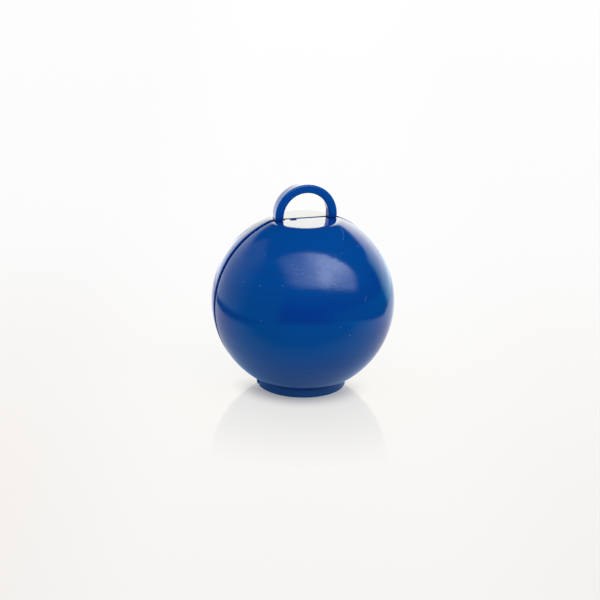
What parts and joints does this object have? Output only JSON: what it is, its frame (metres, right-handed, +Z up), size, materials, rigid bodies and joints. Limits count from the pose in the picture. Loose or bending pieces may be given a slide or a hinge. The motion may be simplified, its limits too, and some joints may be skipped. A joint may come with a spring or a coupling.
{
  "type": "balloon weight",
  "caption": "Glossy blue ball-shaped balloon weight: press-fitted half shells round a cast ballast core, with a ribbon loop on the flat top and a short round foot.",
  "frame": {"origin": "middle of the foot's underside, on the surface that the weight stands on", "axes": "+Z up through the loop; the seam runs along the plane Y = 0; -Y is the front shell's side and the way it pulls off; X runs along the loop's width"},
  "size_m": [0.046, 0.046, 0.0524],
  "materials": {
    "blue_plastic": "gloss",
    "cast_mineral": "matte"
  },
  "bodies": {
    "rear": {"rear_shell": "blue_plastic"},
    "front": {"front_shell": "blue_plastic"},
    "core": {"ballast_core": "cast_mineral"}
  },
  "joints": [
    {"name": "front_pull", "type": "slide", "parent": "rear", "child": "front", "axis": [0, -1, 0], "range_m": [0, 0.045]},
    {"name": "core_lift", "type": "slide", "parent": "rear", "child": "core", "axis": [0, -1, 0], "range_m": [0, 0.0225]}
  ],
  "couplings": [
    {"joint": "core_lift", "follows": "front_pull", "ratio": 0.5}
  ]
}
